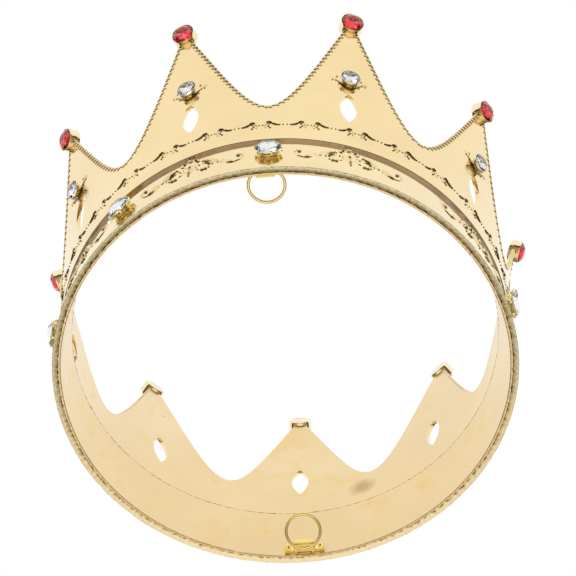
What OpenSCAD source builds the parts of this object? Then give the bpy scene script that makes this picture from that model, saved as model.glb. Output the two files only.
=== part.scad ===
// A round costume crown with nine points: stamped and soldered gold-plated metal, with glued glass stones
// and two small wire rings inside the rim for hair pins or an elastic.
// The origin is the centre of the bottom rim, +Z runs up to the tips, and the front faces -Y.
// Places round the crown are angles from the front, positive towards +X.

/* [Rim and band] */
// Outer radius of the bottom rim
rim_r = 77.5; // [70:0.5:90]
// Height of the base band, from the rim to the underside of the moulding
band_h = 22.8; // [22:0.1:30]
// Outer radius at the top of the base band, under the moulding
band_top_r = 75; // [66:0.1:86]
// Thickness of the base band
band_t = 1.8; // [1.4:0.1:2.4]
// Thickness of the thin strip that lines the band
lining_t = 1.0; // [0.6:0.1:1.2]
// How far the lining strip stops short of the rim and of the band's top edge
lining_inset = 0.4; // [0.2:0.1:1]
// Height of each of the two steps in the moulding over the band
step_h = 0.45; // [0.3:0.05:0.8]

/* [Wall and points] */
// Number of points round the crown
point_count = 9; // [9]
// Outer radius at the foot of the wall
foot_r = 76; // [72:0.5:88]
// Outer radius that the wall flares to at the tips
tip_r = 85; // [80:0.5:100]
// Share of the flare that is straight, the rest being a curve that steepens upwards
flare_straight = 0.37; // [0.2:0.01:0.8]
// Thickness of the wall
wall_t = 1.4; // [1.2:0.1:2.2]
// Height at which the two edges of a point meet, behind its tip cup
tip_z = 99.4; // [90:0.2:115]
// Height of the bottom of the valley between two points
valley_z = 44.6; // [40:0.2:55]
// Roundness of the valley: small is a sharp V, large is a wide U
valley_round = 0.5; // [0.3:0.05:1.5]
// Width of the pointed oval hole in each point
oval_w = 6.1; // [4:0.1:7]
// Height of the pointed oval hole
oval_h = 17.6; // [10:0.2:18]
// Height of the middle of the hole
oval_z = 47.4; // [44:0.2:52]

/* [Stones and cups] */
// Radius of the red stones at the tips
red_r = 3.6; // [2.5:0.1:4]
// Height of the middle of the tip cups
red_z = 97.6; // [88:0.2:108]
// How far the tip cups face downwards
red_tilt = 19; // [5:1:30]
// Radius of the clear stones on the points
clear_r = 3.2; // [2:0.1:4]
// Height of the middle of the point cups
clear_z = 63.8; // [60:0.2:70]
// How far the point cups face downwards
clear_tilt = 15; // [5:1:22]
// Radius of the large clear stones on the band
band_stone_r = 4.25; // [3:0.05:5]
// Height of the middle of the band cups
band_stone_z = 13; // [11:0.5:14]
// Valley positions, counted from the front towards +X, that have a band stone below them
band_stone_places = [0, 2, 3, 4, 5, 6, 7, 8];
// Metal round a stone in its cup
cup_t = 0.55; // [0.4:0.05:0.8]

/* [Rings] */
// Outside diameter of a wire ring
ring_od = 13; // [10:0.5:15]
// Thickness of the ring's wire
ring_wire = 1.1; // [0.8:0.1:1.4]
// Height of the front ring's hinge line above the rim
front_hinge_z = 8.8; // [4:0.1:11]
// Height of the back ring's hinge line above the rim
back_hinge_z = 3.2; // [2.6:0.1:11]
// Place of the front clip round the crown, as an angle from the front
front_clip_angle = -1.1; // [-5:0.1:5]
// Place of the back clip round the crown, as an angle from the front
back_clip_angle = 179; // [175:0.1:185]
// Angle of the front ring from straight inwards, negative is down
front_ring_angle = -4; // [-10:1:80]
// Angle of the back ring from straight inwards, positive is up
back_ring_angle = 42; // [-10:1:80]

/* [Hidden] */
$fn = 96;
step = 360 / point_count;               // angle between two points
half = step / 2;                        // angle from a valley to the point beside it
foot_z = band_h + 2 * step_h;           // underside of the wall
point_angles = [for (i = [0:point_count - 1]) half + i * step];
band_stone_angles = [for (p = band_stone_places) p * step];
band_lean = atan((rim_r - band_top_r) / band_h);
flare_steps = 6;                        // conical bands in the wall's curve
edge_steps = 12;                        // straight lengths in each side of a valley
oval_steps = 10;                        // straight lengths from the widest place of an oval hole to its tip
edge_reach = 0.965;                     // the valley's sides stop here, inside the tip cup's seat
cut = 1;                                // overshoot of every cutting body
eps = 0.01;

// Where the cups sit: depth of the seat below the surface, and how far the rim of the cup stands proud
point_seat = 0.9;
point_proud = 2.4;
band_seat = 0.5;
band_proud = 2.1;
tip_back = 1.9;                         // the tip cups reach through the wall to its inner face
tip_proud = 2.3;
claw_over = 0.35;                       // height of the claws over the cup's rim
stone_gap = 0.03;                       // glue line round a stone

// Ring and clip. The ring's wire runs through both legs of the clip's bridge.
ring_mid_r = (ring_od - ring_wire) / 2; // radius of the wire's centre line
wire_drop = 0.5;                        // the wire's lowest point lies this far behind the hinge line
hinge_in = 1.45;                        // hinge line to the lining's inner face
clip_t = 0.6;                           // thickness of the clip's strip
bridge_w = 6.4;                         // width over the bridge's two legs
bridge_h = 3.4;                         // height of the bridge
bridge_in = ring_wire / 2 + wire_drop + 0.25 + clip_t; // hinge line to the bridge's front
leg_hole_r = 1.25;
eyelet_h = 2.2;                         // height of the rolled end of each foot
eyelet_r = 1.0;
eyelet_x = 5.8;
eyelet_hole_r = 0.5;

// Radii of the plain surfaces at a height
function band_r(z) = rim_r + (band_top_r - rim_r) * z / band_h;
function wall_r(z) =
    let (s = (z - foot_z) / (tip_z - foot_z))
    foot_r + (tip_r - foot_r) * (flare_straight * s + (1 - flare_straight) * s * s);
// Height of the valley's edge at a share u of the way from its middle to the next point
function edge_z(u) =
    let (a = valley_round)
    valley_z + (tip_z - valley_z) * (sqrt(a * a + u * u) - a) / (sqrt(a * a + 1) - a);

function lining_r(z) = band_r(z) - band_t - lining_t;
function hinge_r(z) = lining_r(z) - hinge_in;

band_cup_names = [for (i = [1:len(band_stone_places)]) str("band_cup_", i)];
band_stone_names = [for (i = [1:len(band_stone_places)]) str("band_stone_", i)];
tip_cup_names = [for (i = [1:point_count]) str("tip_cup_", i)];
red_stone_names = [for (i = [1:point_count]) str("red_stone_", i)];
point_cup_names = [for (i = [1:point_count]) str("point_cup_", i)];
point_stone_names = [for (i = [1:point_count]) str("point_stone_", i)];

gold = [0.93, 0.80, 0.50];
deep_gold = [0.85, 0.68, 0.25];
red_glass = [0.80, 0.05, 0.12];
clear_glass = [0.88, 0.90, 0.93];

// Puts children at an angle round the crown, on a surface of radius r at height z, with their +Z outwards.
// tilt turns them downwards from level.
module on_surface(angle, r, z, tilt)
    rotate([0, 0, angle]) translate([0, -r, z]) rotate([90 + tilt, 0, 0]) children();

// A plain conical sleeve between two heights, with the outer radius at its bottom and at its top
module sleeve(z0, r0, z1, r1, t)
    rotate_extrude()
        polygon([[r0 - t, z0], [r0, z0], [r1, z1], [r1 - t, z1]]);

// Seats for the cups, as the bodies that are cut away
module tip_seat(angle)
    on_surface(angle, wall_r(red_z), red_z, red_tilt)
        translate([0, 0, -8]) cylinder(r = red_r + cup_t, h = 16);
module point_seat_cut(angle)
    on_surface(angle, wall_r(clear_z), clear_z, clear_tilt)
        translate([0, 0, -point_seat]) cylinder(r = clear_r + cup_t, h = 8);
module band_seat_cut(angle)
    on_surface(angle, band_r(band_stone_z), band_stone_z, -band_lean)
        translate([0, 0, -band_seat]) cylinder(r = band_stone_r + cup_t, h = 8);

// The hoop at the bottom, leaning in towards its top, with two small steps out to the wall over it
module base_band()
    color(gold)
        difference() {
            rotate_extrude()
                polygon([
                    [rim_r - band_t, 0], [rim_r, 0], [band_top_r, band_h],
                    [band_top_r + (foot_r - band_top_r) / 2, band_h],
                    [band_top_r + (foot_r - band_top_r) / 2, band_h + step_h],
                    [foot_r, band_h + step_h], [foot_r, foot_z], [band_top_r - band_t, foot_z],
                    [band_top_r - band_t, band_h]]);
            for (a = band_stone_angles) band_seat_cut(a);
        }

// The thin strip soldered inside the band
module lining_strip()
    color(gold)
        sleeve(lining_inset, band_r(lining_inset) - band_t,
               band_h - lining_inset, band_r(band_h - lining_inset) - band_t, lining_t);

// Outline of the opening between two points, as seen straight on, up past the tips
module valley_outline()
    polygon(concat(
        [for (i = [-edge_steps:edge_steps])
            let (u = edge_reach * i / edge_steps, z = edge_z(abs(u))) [wall_r(z) * sin(u * half), z]],
        [for (side = [1, -1]) [side * wall_r(edge_z(edge_reach)) * sin(edge_reach * half), tip_z + 20]]));

// Outline of the oval hole: two equal arcs that meet in a point above and below, centred on its height
module oval_outline() {
    w = oval_w / 2;
    h = oval_h / 2;
    arc_r = (w * w + h * h) / (2 * w);
    reach = asin(h / arc_r);            // half the angle of one arc
    polygon([for (turn = [1, -1]) for (i = [-oval_steps:oval_steps - 1])
        let (a = reach * i / oval_steps)
        [turn * (arc_r * cos(a) - arc_r + w), turn * arc_r * sin(a)]]);
}

// An outline pushed outwards through the wall, upright, at an angle round the crown
module through_wall(angle)
    rotate([0, 0, angle]) translate([0, -foot_r + 16, 0]) rotate([90, 0, 0])
        linear_extrude(tip_r - foot_r + 30) children();

// The wall before its points are cut. It is turned up to the middle of the tip cups only,
// because the cups fill the rest of each tip.
module wall_sleeve()
    rotate_extrude()
        polygon(concat(
            [for (i = [0:flare_steps])
                let (z = foot_z + (red_z - foot_z) * i / flare_steps) [wall_r(z), z]],
            [for (i = [flare_steps:-1:0])
                let (z = foot_z + (red_z - foot_z) * i / flare_steps) [wall_r(z) - wall_t, z]]));

// Cuts every third valley, so that the cutting bodies of one pass stay clear of each other
module cut_valleys(first)
    difference() {
        children();
        for (i = [first:3:point_count - 1]) through_wall(i * step) valley_outline();
    }

// The flared wall with its nine points, in one piece
module crown_wall()
    color(gold)
        difference() {
            cut_valleys(0) cut_valleys(1) cut_valleys(2) wall_sleeve();
            for (a = point_angles) {
                through_wall(a) translate([0, oval_z]) oval_outline();
                tip_seat(a);
                point_seat_cut(a);
            }
        }

// A round cup with its back at z0 and its rim at z1, bored for a stone, with four claws over the rim
module cup(stone_r, z0, z1, bore_depth)
    color(deep_gold) {
        difference() {
            translate([0, 0, z0]) cylinder(r = stone_r + cup_t, h = z1 - z0);
            translate([0, 0, z1 - bore_depth]) cylinder(r = stone_r, h = bore_depth + cut);
        }
        for (i = [0:3])
            rotate([0, 0, 45 + 90 * i])
                translate([stone_r + stone_gap, -cup_t, z1 - eps])
                    cube([cup_t - stone_gap, 2 * cup_t, claw_over + eps]);
    }

// A cut stone: a short girdle in the cup, a pavilion below and a crown with a flat table above
module stone(r, rim_z, depth, shade)
    color(shade) {
        girdle = 0.3;
        crown = r * 0.38;
        translate([0, 0, rim_z - girdle]) {
            cylinder(r = r - stone_gap, h = girdle);
            translate([0, 0, girdle - eps]) cylinder(r1 = r - stone_gap, r2 = r * 0.55, h = crown);
            translate([0, 0, -depth]) cylinder(r1 = r * 0.45, r2 = r - stone_gap, h = depth + eps);
        }
    }

module tip_cup(i)
    on_surface(point_angles[i], wall_r(red_z), red_z, red_tilt) cup(red_r, -tip_back, tip_proud, 1.8);
module red_stone(i)
    on_surface(point_angles[i], wall_r(red_z), red_z, red_tilt) stone(red_r, tip_proud, 1.4, red_glass);
module point_cup(i)
    on_surface(point_angles[i], wall_r(clear_z), clear_z, clear_tilt)
        cup(clear_r, -point_seat, point_proud, 1.8);
module point_stone(i)
    on_surface(point_angles[i], wall_r(clear_z), clear_z, clear_tilt)
        stone(clear_r, point_proud, 1.4, clear_glass);
module band_cup(i)
    on_surface(band_stone_angles[i], band_r(band_stone_z), band_stone_z, -band_lean)
        cup(band_stone_r, -band_seat, band_proud, 2);
module band_stone(i)
    on_surface(band_stone_angles[i], band_r(band_stone_z), band_stone_z, -band_lean)
        stone(band_stone_r, band_proud, 1.6, clear_glass);

// Puts children at a ring's hinge, with +Y inwards across the crown and X along the hinge line
module at_hinge(angle, hinge_z)
    rotate([0, 0, angle]) translate([0, -hinge_r(hinge_z), hinge_z]) children();

// The bridge as seen from below. X runs along the hinge line and Y inwards, from the hinge line.
module bridge_outline()
    difference() {
        translate([-bridge_w / 2, -hinge_in - cut]) square([bridge_w, hinge_in + cut + bridge_in]);
        translate([-bridge_w / 2 + clip_t, -hinge_in - 2 * cut])
            square([bridge_w - 2 * clip_t, hinge_in + 2 * cut + bridge_in - clip_t]);
    }

// The two feet as seen from below, each with its rolled end
module feet_outline()
    for (side = [-1, 1])
        difference() {
            union() {
                translate([side * eyelet_x, -hinge_in + eyelet_r]) circle(r = eyelet_r);
                translate([side * (bridge_w / 2 + eyelet_x) / 2 - 1.4, -hinge_in - cut]) square([2.8, clip_t + cut]);
            }
            translate([side * eyelet_x, -hinge_in + eyelet_r]) circle(r = eyelet_hole_r);
        }

// A bow-shaped clip bent from strip and soldered to the lining
module ring_clip(angle, hinge_z)
    color(deep_gold)
        difference() {
            at_hinge(angle, hinge_z)
                difference() {
                    union() {
                        translate([0, 0, -bridge_h / 2]) linear_extrude(bridge_h) bridge_outline();
                        translate([0, 0, -eyelet_h / 2]) linear_extrude(eyelet_h) feet_outline();
                    }
                    rotate([0, 90, 0]) cylinder(r = leg_hole_r, h = bridge_w + cut, center = true);
                }
            behind_lining_face();
        }

// Everything behind the lining's inner face, to shape the backs of the clips to it
module behind_lining_face()
    rotate_extrude($fn = 360)
        polygon([[lining_r(-5), -5], [rim_r + 10, -5], [rim_r + 10, 30], [lining_r(30), 30]]);

// A plain ring of round wire, turned up by an angle about the hinge line
module wire_ring(angle, hinge_z, turn)
    color(deep_gold)
        at_hinge(angle, hinge_z) rotate([turn, 0, 0]) translate([0, ring_mid_r - wire_drop, 0])
            rotate_extrude() translate([ring_mid_r, 0]) circle(d = ring_wire, $fn = 32);

module front_ring_clip() ring_clip(front_clip_angle, front_hinge_z);
module back_ring_clip() ring_clip(back_clip_angle, back_hinge_z);
module front_ring() wire_ring(front_clip_angle, front_hinge_z, front_ring_angle);
module back_ring() wire_ring(back_clip_angle, back_hinge_z, back_ring_angle);

base_band();
lining_strip();
crown_wall();
front_ring_clip();
back_ring_clip();
front_ring();
back_ring();
for (i = [0:point_count - 1]) {
    tip_cup(i);
    red_stone(i);
    point_cup(i);
    point_stone(i);
}
for (i = [0:len(band_stone_places) - 1]) {
    band_cup(i);
    band_stone(i);
}
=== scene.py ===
"""Looks for the gold-plated costume crown: polished metal, relief, beading, cut stones and wire rings."""
import math
import random

import bpy
import bmesh
from mathutils import Matrix, Vector
from mathutils.geometry import delaunay_2d_cdt


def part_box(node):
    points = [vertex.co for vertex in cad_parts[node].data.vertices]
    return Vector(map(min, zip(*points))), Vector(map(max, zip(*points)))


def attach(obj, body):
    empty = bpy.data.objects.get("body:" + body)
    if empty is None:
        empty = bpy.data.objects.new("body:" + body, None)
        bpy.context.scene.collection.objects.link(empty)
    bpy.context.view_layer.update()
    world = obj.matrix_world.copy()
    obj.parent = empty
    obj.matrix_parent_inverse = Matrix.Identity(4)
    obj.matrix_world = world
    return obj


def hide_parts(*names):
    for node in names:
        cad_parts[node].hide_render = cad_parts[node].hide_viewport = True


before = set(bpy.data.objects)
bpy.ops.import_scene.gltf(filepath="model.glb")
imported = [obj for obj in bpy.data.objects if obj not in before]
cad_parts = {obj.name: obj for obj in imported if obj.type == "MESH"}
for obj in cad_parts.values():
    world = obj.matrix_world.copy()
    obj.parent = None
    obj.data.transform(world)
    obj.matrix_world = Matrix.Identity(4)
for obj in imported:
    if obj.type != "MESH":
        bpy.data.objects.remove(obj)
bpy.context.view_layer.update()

# ---------------------------------------------------------------- sizes, in metres, as in the CAD part
MM = 0.001
POINTS = 9
STEP = 360 / POINTS
HALF = STEP / 2
RIM_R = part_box("base_band")[1].x
FOOT_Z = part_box("crown_wall")[0].z
MOULDING_H = 0.9 * MM
BAND_H = FOOT_Z - MOULDING_H
BAND_TOP_R = 75.0 * MM
BAND_T = 1.8 * MM
LINING_T = 1.0 * MM
LINING_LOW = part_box("lining_strip")[0].z
LINING_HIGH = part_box("lining_strip")[1].z
FOOT_R = 76.0 * MM
TIP_R = 85.0 * MM
TIP_Z = 99.4 * MM
FLARE_STRAIGHT = 0.37
WALL_T = 1.4 * MM
VALLEY_Z = 44.6 * MM
VALLEY_ROUND = 0.5
OVAL_W = 6.1 * MM
OVAL_H = 17.6 * MM
OVAL_Z = 47.4 * MM
RED_R, RED_Z, RED_TILT = 3.6 * MM, 97.6 * MM, 19.0
CLEAR_R, CLEAR_Z, CLEAR_TILT = 3.2 * MM, 63.8 * MM, 15.0
BAND_STONE_R, BAND_STONE_Z = 4.25 * MM, 13.0 * MM
CUP_T = 0.55 * MM
BAND_LEAN = math.degrees(math.atan((RIM_R - BAND_TOP_R) / BAND_H))
POINT_ANGLES = [HALF + STEP * i for i in range(POINTS)]
BAND_STONE_ANGLES = [STEP * place for place in (0, 2, 3, 4, 5, 6, 7, 8)]


def band_r(z):
    """Outer radius of the base band at a height."""
    return RIM_R + (BAND_TOP_R - RIM_R) * z / BAND_H


def wall_r(z):
    """Outer radius of the flared wall at a height."""
    s = (z - FOOT_Z) / (TIP_Z - FOOT_Z)
    return FOOT_R + (TIP_R - FOOT_R) * (FLARE_STRAIGHT * s + (1 - FLARE_STRAIGHT) * s * s)


def edge_z(u):
    """Height of the wall's edge at a share u of the way from the middle of a valley to the next point."""
    a = VALLEY_ROUND
    rise = (math.hypot(a, u) - a) / (math.hypot(a, 1) - a)
    return VALLEY_Z + (TIP_Z - VALLEY_Z) * rise


def around(angle, r, z):
    """The point at an angle round the crown (0 is the front, positive towards +X), a radius and a height."""
    t = math.radians(angle)
    return Vector((r * math.sin(t), -r * math.cos(t), z))


def on_surface(angle, r, z, tilt):
    """A frame whose +Z points outwards and whose +Y points up, turned down by tilt degrees."""
    turn = Matrix.Rotation(math.radians(angle), 4, "Z")
    place = Matrix.Translation((0, -r, z))
    face = Matrix.Rotation(math.radians(90 + tilt), 4, "X")
    return turn @ place @ face


# ---------------------------------------------------------------- materials
RIPPLE, RIPPLE_HIGH = 0.02, 0.4 * MM                 # strength and height of the slight ripple in the sheet
TARNISH_AT = (22.9 * MM, 72.8 * MM, 35.5 * MM)       # middle of the brown patch inside the back wall
TARNISH_EDGE = (7.1 * MM, 7.5 * MM)                  # where the patch fades out, with its ragged edge added
TARNISH_RAGGED = 4 * MM
FRONT_TONE_UNTIL, BACK_TONE_FROM = -12 * MM, 22 * MM           # the rim's colour goes from its front tone, up to one y, to its back tone, from the other
GLASS_IOR = 1.62


def set_stops(ramp, stops):
    """Gives a colour ramp node its stops, as (place, colour)."""
    elements = ramp.color_ramp.elements
    while len(elements) < len(stops):
        elements.new(0.5)
    for element, (at, colour) in zip(elements, stops):
        element.position = at
        element.color = (*colour, 1)


class Nodes:
    """A short way to build a material's node tree."""

    def __init__(self, name, metallic=1.0):
        self.material = bpy.data.materials.new(name)
        self.material.use_nodes = True
        self.tree = self.material.node_tree
        self.shader = self.tree.nodes["Principled BSDF"]
        self.shader.inputs["Metallic"].default_value = metallic
        self.coords = self.add("ShaderNodeTexCoord")

    def add(self, kind, **values):
        node = self.tree.nodes.new(kind)
        for key, value in values.items():
            setattr(node, key, value)
        return node

    def link(self, source, target):
        self.tree.links.new(source, target)

    def noise(self, scale, detail=4.0, rough=0.55, stretch=(1, 1, 1)):
        mapping = self.add("ShaderNodeMapping")
        mapping.inputs["Scale"].default_value = stretch
        self.link(self.coords.outputs["Object"], mapping.inputs["Vector"])
        noise = self.add("ShaderNodeTexNoise")
        noise.inputs["Scale"].default_value = scale
        noise.inputs["Detail"].default_value = detail
        noise.inputs["Roughness"].default_value = rough
        self.link(mapping.outputs["Vector"], noise.inputs["Vector"])
        return noise.outputs["Fac"]

    def ramp(self, value, stops):
        ramp = self.add("ShaderNodeValToRGB")
        set_stops(ramp, stops)
        self.link(value, ramp.inputs["Fac"])
        return ramp.outputs["Color"]

    def spread(self, value, low, high):
        spread = self.add("ShaderNodeMapRange")
        spread.inputs["To Min"].default_value = low
        spread.inputs["To Max"].default_value = high
        self.link(value, spread.inputs["Value"])
        return spread.outputs["Result"]

    def mix(self, share, a, b):
        mix = self.add("ShaderNodeMix", data_type="RGBA")
        self.link(share, mix.inputs[0])
        for socket, value in ((mix.inputs[6], a), (mix.inputs[7], b)):
            if isinstance(value, tuple):
                socket.default_value = (*value, 1)
            else:
                self.link(value, socket)
        return mix.outputs[2]

    def bump(self, height, strength, distance):
        bump = self.add("ShaderNodeBump")
        bump.inputs["Strength"].default_value = strength
        bump.inputs["Distance"].default_value = distance
        self.link(height, bump.inputs["Height"])
        self.link(bump.outputs["Normal"], self.shader.inputs["Normal"])


def gold(name, colour, dark, rough=(0.05, 0.16)):
    """Polished plating: faint clouding, a slight ripple in the sheet and fine scratches."""
    n = Nodes(name)
    cloud = n.noise(38, 5)
    n.link(n.ramp(cloud, [(0.3, dark), (0.62, colour)]), n.shader.inputs["Base Color"])
    scratch = n.noise(420, 6, 0.7, (1, 1, 9))
    n.link(n.spread(scratch, *rough), n.shader.inputs["Roughness"])
    n.bump(n.noise(60, 3), RIPPLE, RIPPLE_HIGH)
    return n.material


PALE = (0.945, 0.75, 0.408)
PALE_DARK = (0.895, 0.695, 0.362)
outer_gold = gold("outer_gold", PALE, PALE_DARK)
relief_gold = gold("relief_gold", (0.92, 0.74, 0.40), (0.72, 0.53, 0.24), (0.06, 0.16))
cup_gold = gold("cup_gold", (0.96, 0.84, 0.55), (0.88, 0.72, 0.42), (0.05, 0.15))
# Dark gold for painted shade: laid on the relief's down-facing flanks, the moulding's cove and the groove
# under it, and the line along the lining's top.
painted_shade_gold = gold("dark_painted_shade", (0.30, 0.22, 0.10), (0.17, 0.12, 0.05), (0.1, 0.25))
# Near-black marks in the gaps between the edge beads: painted shade.
bead_gap_painted_shade = gold("bead_gap_painted_shade", (0.15, 0.11, 0.05), (0.08, 0.06, 0.028), (0.2, 0.4))
point_cup_gold = gold("point_cup_gold", (1.0, 0.94, 0.78), (0.95, 0.86, 0.64), (0.05, 0.15))
# Dull brown for the down-facing underside of the ledge under the wall: painted shade.
ledge_painted_shade = gold("ledge_painted_shade", (0.50, 0.39, 0.30), (0.36, 0.27, 0.19), (0.12, 0.3))
deep_gold = gold("deep_gold", (0.97, 0.79, 0.30), (0.90, 0.66, 0.18), (0.06, 0.18))
ring_gold = gold("ring_gold", (1.0, 0.87, 0.42), (0.95, 0.76, 0.28), (0.05, 0.14))
basket_gold = gold("basket_gold", (1.0, 0.95, 0.62), (0.98, 0.86, 0.46), (0.12, 0.28))


def inner_gold_material():
    """Satin plating of the inside, with warm yellow patches, small brown spots and one tarnished patch."""
    n = Nodes("inner_gold")
    cloud = n.noise(30, 4)
    base = n.ramp(cloud, [(0.35, (0.85, 0.645, 0.352)), (0.65, (0.90, 0.70, 0.392))])
    warm = n.ramp(n.noise(55, 5, 0.65), [(0.54, (0, 0, 0)), (0.66, (1, 1, 1))])
    base = n.mix(warm, base, (0.86, 0.635, 0.28))
    spots = n.ramp(n.noise(170, 5, 0.7), [(0.70, (0, 0, 0)), (0.76, (1, 1, 1))])
    base = n.mix(spots, base, (0.50, 0.33, 0.14))
    away = n.add("ShaderNodeVectorMath", operation="DISTANCE")
    away.inputs[1].default_value = TARNISH_AT
    n.link(n.coords.outputs["Object"], away.inputs[0])
    ragged = n.add("ShaderNodeMath", operation="MULTIPLY_ADD")
    ragged.inputs[1].default_value = TARNISH_RAGGED
    n.link(n.noise(420, 4, 0.6), ragged.inputs[0])
    n.link(away.outputs["Value"], ragged.inputs[2])
    near = n.ramp(ragged.outputs["Value"], [(TARNISH_EDGE[0], (1, 1, 1)), (TARNISH_EDGE[1], (0, 0, 0))])
    base = n.mix(near, base, (0.58, 0.42, 0.19))
    n.link(base, n.shader.inputs["Base Color"])
    n.link(n.spread(n.noise(60, 3), 0.20, 0.30), n.shader.inputs["Roughness"])
    n.bump(n.noise(70, 2), RIPPLE, RIPPLE_HIGH)
    return n.material


inner_gold = inner_gold_material()


def rim_material():
    """The ground underside of the rim: gritty, with a darker, more speckled colour on the front half."""
    n = Nodes("ground_rim")
    split = n.add("ShaderNodeSeparateXYZ")
    n.link(n.coords.outputs["Object"], split.inputs["Vector"])
    back = n.add("ShaderNodeMapRange")
    back.inputs["From Min"].default_value = FRONT_TONE_UNTIL
    back.inputs["From Max"].default_value = BACK_TONE_FROM
    n.link(split.outputs["Y"], back.inputs["Value"])
    grit = n.noise(1100, 6, 0.75)
    front_tone = n.ramp(grit, [(0.32, (0.50, 0.40, 0.20)), (0.56, (1.0, 0.92, 0.64))])
    back_tone = n.ramp(grit, [(0.25, (0.88, 0.70, 0.38)), (0.60, (0.97, 0.82, 0.50))])
    n.link(n.mix(back.outputs["Result"], front_tone, back_tone), n.shader.inputs["Base Color"])
    rough = n.ramp(grit, [(0.0, (0.30, 0.30, 0.30)), (1.0, (0.55, 0.55, 0.55))])
    n.link(n.mix(back.outputs["Result"], rough, (0.16, 0.16, 0.16)), n.shader.inputs["Roughness"])
    n.bump(n.noise(1500, 6, 0.8), 0.5, 0.2 * MM)
    return n.material


ground_rim = rim_material()


def glass_material(name, tint):
    """Clear or tinted lead glass for the cut crown of a stone."""
    n = Nodes(name, metallic=0.0)
    n.shader.inputs["Transmission Weight"].default_value = 1.0
    n.shader.inputs["IOR"].default_value = GLASS_IOR
    n.shader.inputs["Roughness"].default_value = 0.0
    paler = tuple(c * 0.96 for c in tint)
    n.link(n.ramp(n.noise(300, 2), [(0.3, paler), (0.7, tint)]), n.shader.inputs["Base Color"])
    return n.material


def foil_material(name, colour, dark):
    """Mirror foil behind a stone, faintly clouded."""
    n = Nodes(name)
    n.shader.inputs["Roughness"].default_value = 0.05
    n.link(n.ramp(n.noise(500, 3), [(0.35, dark), (0.65, colour)]), n.shader.inputs["Base Color"])
    return n.material


clear_glass = glass_material("clear_glass", (0.99, 0.99, 1.0))
red_glass = glass_material("red_glass", (1.0, 0.12, 0.14))
silver_foil = foil_material("silver_foil", (0.98, 0.98, 0.98), (0.86, 0.87, 0.88))
red_foil = foil_material("red_foil", (1.0, 0.72, 0.72), (0.98, 0.50, 0.50))


# ---------------------------------------------------------------- mesh tools
def show(name, data):
    """An object in the scene that holds some data."""
    thing = bpy.data.objects.new(name, data)
    bpy.context.scene.collection.objects.link(thing)
    return thing


def make_piece(name, verts, faces, material, slot, body="crown", smooth=True, edge_angle=35,
               skins=(), weld=0.0):
    """A mesh object that rides on a body. skins gives each face's material, weld joins points that near."""
    mesh = bpy.data.meshes.new(name)
    mesh.from_pydata([tuple(v) for v in verts], [], faces)
    bm = bmesh.new()
    bm.from_mesh(mesh)
    for face, skin in zip(bm.faces, skins):
        face.material_index = skin
    if weld:
        bmesh.ops.remove_doubles(bm, verts=bm.verts, dist=weld)
    bmesh.ops.recalc_face_normals(bm, faces=bm.faces)
    if smooth:
        for face in bm.faces:
            face.smooth = True
        for edge in bm.edges:
            if len(edge.link_faces) == 2 and edge.calc_face_angle(0) > math.radians(edge_angle):
                edge.smooth = False
    bm.to_mesh(mesh)
    bm.free()
    piece = show(name, mesh)
    mesh.materials.append(material)
    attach(piece, body)
    return piece


class Pile:
    """Gathers many small closed shapes into one mesh."""

    def __init__(self):
        self.verts, self.faces = [], []

    def add(self, verts, faces):
        start = len(self.verts)
        self.verts += verts
        self.faces += [tuple(start + i for i in face) for face in faces]

    def piece(self, *args, **kwargs):
        return make_piece(args[0], self.verts, self.faces, *args[1:], **kwargs)


def loop_faces(steps, m):
    """Faces of a tube that closes on itself, of so many sections with m points each."""
    faces = []
    for i in range(steps):
        j = (i + 1) % steps
        for k in range(m):
            n = (k + 1) % m
            faces.append((i * m + k, j * m + k, j * m + n, i * m + n))
    return faces


def rod_faces(count, m):
    """Faces of a rod with two closed ends, of count sections with m points each."""
    faces = []
    for i in range(count - 1):
        for k in range(m):
            n = (k + 1) % m
            faces.append((i * m + k, i * m + n, (i + 1) * m + n, (i + 1) * m + k))
    return faces + [tuple(range(m))[::-1], tuple(range((count - 1) * m, count * m))]


HOOP_STEPS = 1080


def turned(profile, wobble):
    """A hoop about Z from a closed profile of (radius, height). wobble moves point k of section i."""
    verts = []
    for i in range(HOOP_STEPS):
        a = 2 * math.pi * i / HOOP_STEPS
        for k, point in enumerate(profile):
            r, z = wobble(i, k, *point)
            verts.append(Vector((r * math.sin(a), -r * math.cos(a), z)))
    return verts, loop_faces(HOOP_STEPS, len(profile))


def lathe(profile, steps, place):
    """A solid turned about Z from an open profile whose first and last points lie on the axis."""
    verts = [place @ Vector((0, 0, profile[0][1]))]
    inner = profile[1:-1]
    for i in range(steps):
        a = 2 * math.pi * i / steps
        verts += [place @ Vector((r * math.cos(a), r * math.sin(a), z)) for r, z in inner]
    verts.append(place @ Vector((0, 0, profile[-1][1])))
    count, last, faces = len(inner), len(verts) - 1, []
    for i in range(steps):
        a, b = 1 + i * count, 1 + (i + 1) % steps * count
        faces.append((0, b, a))
        faces += [(a + k, b + k, b + k + 1, a + k + 1) for k in range(count - 1)]
        faces.append((a + count - 1, b + count - 1, last))
    return verts, faces


def ball(centre, axes, rings=5, steps=8):
    """An ellipsoid with three half-axes, given as vectors."""
    x, y, z = axes
    verts = [centre + z]
    for i in range(1, rings):
        p = math.pi * i / rings
        for k in range(steps):
            t = 2 * math.pi * k / steps
            flat = x * (math.sin(p) * math.cos(t)) + y * (math.sin(p) * math.sin(t))
            verts.append(centre + flat + z * math.cos(p))
    verts.append(centre - z)
    faces = [(0, 1 + (k + 1) % steps, 1 + k) for k in range(steps)]
    for i in range(rings - 2):
        a, b = 1 + i * steps, 1 + (i + 1) * steps
        faces += [(a + k, a + (k + 1) % steps, b + (k + 1) % steps, b + k) for k in range(steps)]
    a, last = 1 + (rings - 2) * steps, len(verts) - 1
    faces += [(a + k, a + (k + 1) % steps, last) for k in range(steps)]
    return verts, faces


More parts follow.
